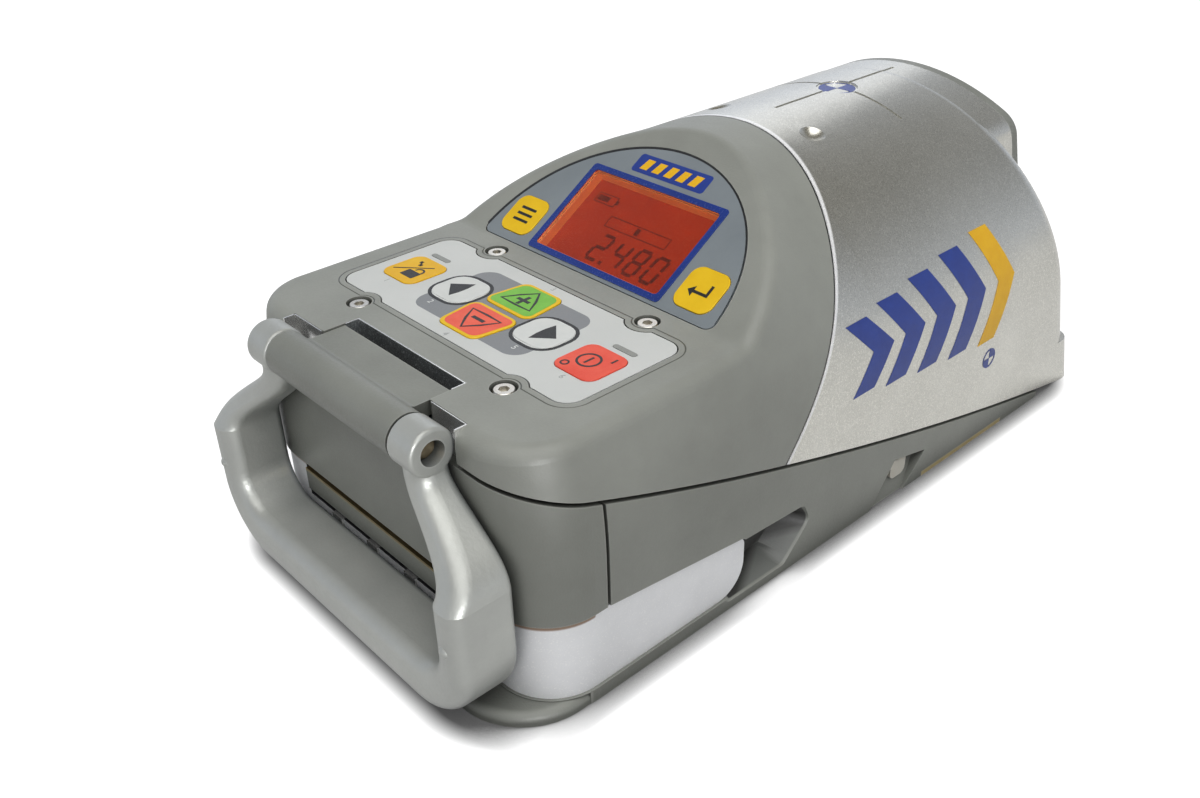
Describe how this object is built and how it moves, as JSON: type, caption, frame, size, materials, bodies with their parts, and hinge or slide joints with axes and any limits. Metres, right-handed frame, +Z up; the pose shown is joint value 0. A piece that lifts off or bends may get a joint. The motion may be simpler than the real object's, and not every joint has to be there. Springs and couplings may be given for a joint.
{
  "type": "pipe laser",
  "caption": "Pipe laser with a domed silver housing, grey control cover with key panel and leaning display, carry handle at the rear, and a tilting and turning beam mount inside",
  "frame": {"origin": "mouth of the M8 thread in the base, on the plumb axis under the target on the dome, in the plane the instrument stands on", "axes": "+Y along the beam from the control panel towards the front window, +X to the user's right, +Z up"},
  "size_m": [0.129, 0.2668, 0.1046],
  "materials": {
    "grey_paint": "satin warm grey paint on cast metal",
    "silver_paint": "metallic silver paint with fine flake",
    "pale_silver": "pale silver paint with a frosted grain",
    "cast_grey": "smooth light grey paint on a casting",
    "dark_steel": "dark steel",
    "bright_steel": "plain steel",
    "chrome": "bright spring steel",
    "brass": "dull brass",
    "bronze": "bronze",
    "aluminium": "machined aluminium",
    "membrane": "pale grey film",
    "plate_blue_grey": "blue-grey film",
    "bezel_blue": "dark blue",
    "lcd_orange": "orange-red filtered display",
    "window_red": "orange-red clear window",
    "clear_glass": "clear coated glass",
    "key_yellow": "yellow key film",
    "key_red": "red key film",
    "key_orange": "orange-red key film",
    "key_green": "green key film",
    "key_white": "white key film",
    "light_pipe": "clear light pipe",
    "black_rubber": "black rubber",
    "dark_plastic": "dark moulded plastic",
    "board_green": "circuit board",
    "pale_plastic": "pale moulded plastic",
    "skid_yellow": "yellow wear strip",
    "cell_wrap": "printed cell wrap"
  },
  "bodies": {
    "body": {"front_housing": "silver_paint", "control_cover": "grey_paint", "base_tray": "grey_paint", "battery_cradle": "pale_silver", "latch_springs": "chrome", "rear_bumper": "grey_paint", "keypad_membrane": "membrane", "status_light_pipes": "light_pipe", "display_plate": "plate_blue_grey", "display_bezel": "bezel_blue", "display_window": "window_red", "lcd_module": "lcd_orange", "cover_screws": "bright_steel", "cover_gasket": "black_rubber", "nose_bezel": "silver_paint", "leg_stops": "pale_plastic", "skid_strips": "skid_yellow", "front_window": "clear_glass", "window_seal": "black_rubber", "window_retainer": "aluminium", "chassis": "aluminium", "line_pivot": "bright_steel", "line_motor": "dark_steel", "main_board": "board_green", "key_board": "board_green", "panel_bracket": "aluminium", "battery_holder": "dark_plastic", "battery_cells": "cell_wrap", "battery_contacts": "bright_steel", "base_insert": "brass", "leg_inserts": "brass", "base_screws": "bright_steel"},
    "cap": {"battery_cap": "grey_paint", "hinge_pin": "bronze"},
    "handle": {"carry_handle": "cast_grey"},
    "latch": {"cap_latch": "dark_steel", "latch_strip": "brass"},
    "yoke": {"line_yoke": "aluminium", "grade_motor": "dark_steel"},
    "beam": {"laser_barrel": "aluminium", "trunnion_pins": "bright_steel", "laser_module": "brass", "collimator_lens": "clear_glass", "level_sensor": "dark_plastic"},
    "grade_rod": {"grade_plunger": "bright_steel"},
    "line_rod": {"line_plunger": "bright_steel"},
    "key_lock": {"key_lock": "key_yellow"},
    "key_left": {"key_left": "key_white"},
    "key_plus": {"key_plus": "key_green"},
    "key_minus": {"key_minus": "key_orange"},
    "key_right": {"key_right": "key_white"},
    "key_power": {"key_power": "key_red"},
    "key_menu": {"key_menu": "key_yellow"},
    "key_enter": {"key_enter": "key_yellow"}
  },
  "joints": [
    {"name": "cap_pull", "type": "slide", "parent": "body", "child": "cap", "axis": [0, -1, 0], "range_m": [0, 0.035]},
    {"name": "handle_swing", "type": "hinge", "parent": "cap", "child": "handle", "pos_m": [0, -0.1863, 0.0708], "axis": [-1, 0, 0], "range_deg": [0, 115]},
    {"name": "latch_press", "type": "slide", "parent": "body", "child": "latch", "axis": [0, 0, -1], "range_m": [0, 0.002], "stiffness_N_per_m": 800, "springref_m": -0.001},
    {"name": "line_turn", "type": "hinge", "parent": "body", "child": "yoke", "pos_m": [0, 0, 0.0135], "axis": [0, 0, 1], "range_deg": [-6, 6]},
    {"name": "grade_tilt", "type": "hinge", "parent": "yoke", "child": "beam", "pos_m": [0, 0, 0.062], "axis": [1, 0, 0], "range_deg": [-7, 22]},
    {"name": "grade_drive", "type": "slide", "parent": "yoke", "child": "grade_rod", "axis": [0, 0, -1], "range_m": [-0.0036, 0.0112]},
    {"name": "line_drive", "type": "slide", "parent": "body", "child": "line_rod", "axis": [1, 0, 0], "range_m": [-0.0032, 0.0032]},
    {"name": "key_lock_press", "type": "slide", "parent": "body", "child": "key_lock", "axis": [0, 0, -1], "range_m": [0, 0.0005], "stiffness_N_per_m": 600, "springref_m": -0.0005},
    {"name": "key_left_press", "type": "slide", "parent": "body", "child": "key_left", "axis": [0, 0, -1], "range_m": [0, 0.0005], "stiffness_N_per_m": 600, "springref_m": -0.0005},
    {"name": "key_plus_press", "type": "slide", "parent": "body", "child": "key_plus", "axis": [0, 0, -1], "range_m": [0, 0.0005], "stiffness_N_per_m": 600, "springref_m": -0.0005},
    {"name": "key_minus_press", "type": "slide", "parent": "body", "child": "key_minus", "axis": [0, 0, -1], "range_m": [0, 0.0005], "stiffness_N_per_m": 600, "springref_m": -0.0005},
    {"name": "key_right_press", "type": "slide", "parent": "body", "child": "key_right", "axis": [0, 0, -1], "range_m": [0, 0.0005], "stiffness_N_per_m": 600, "springref_m": -0.0005},
    {"name": "key_power_press", "type": "slide", "parent": "body", "child": "key_power", "axis": [0, 0, -1], "range_m": [0, 0.0005], "stiffness_N_per_m": 600, "springref_m": -0.0005},
    {"name": "key_menu_press", "type": "slide", "parent": "body", "child": "key_menu", "axis": [0, 0.5329, -0.8462], "range_m": [0, 0.0005], "stiffness_N_per_m": 600, "springref_m": -0.0005},
    {"name": "key_enter_press", "type": "slide", "parent": "body", "child": "key_enter", "axis": [0, 0.5329, -0.8462], "range_m": [0, 0.0005], "stiffness_N_per_m": 600, "springref_m": -0.0005}
  ],
  "couplings": [
    {"joint": "grade_drive", "follows": "grade_tilt", "m_per_rad": 0.029},
    {"joint": "line_drive", "follows": "line_turn", "m_per_rad": 0.03}
  ]
}
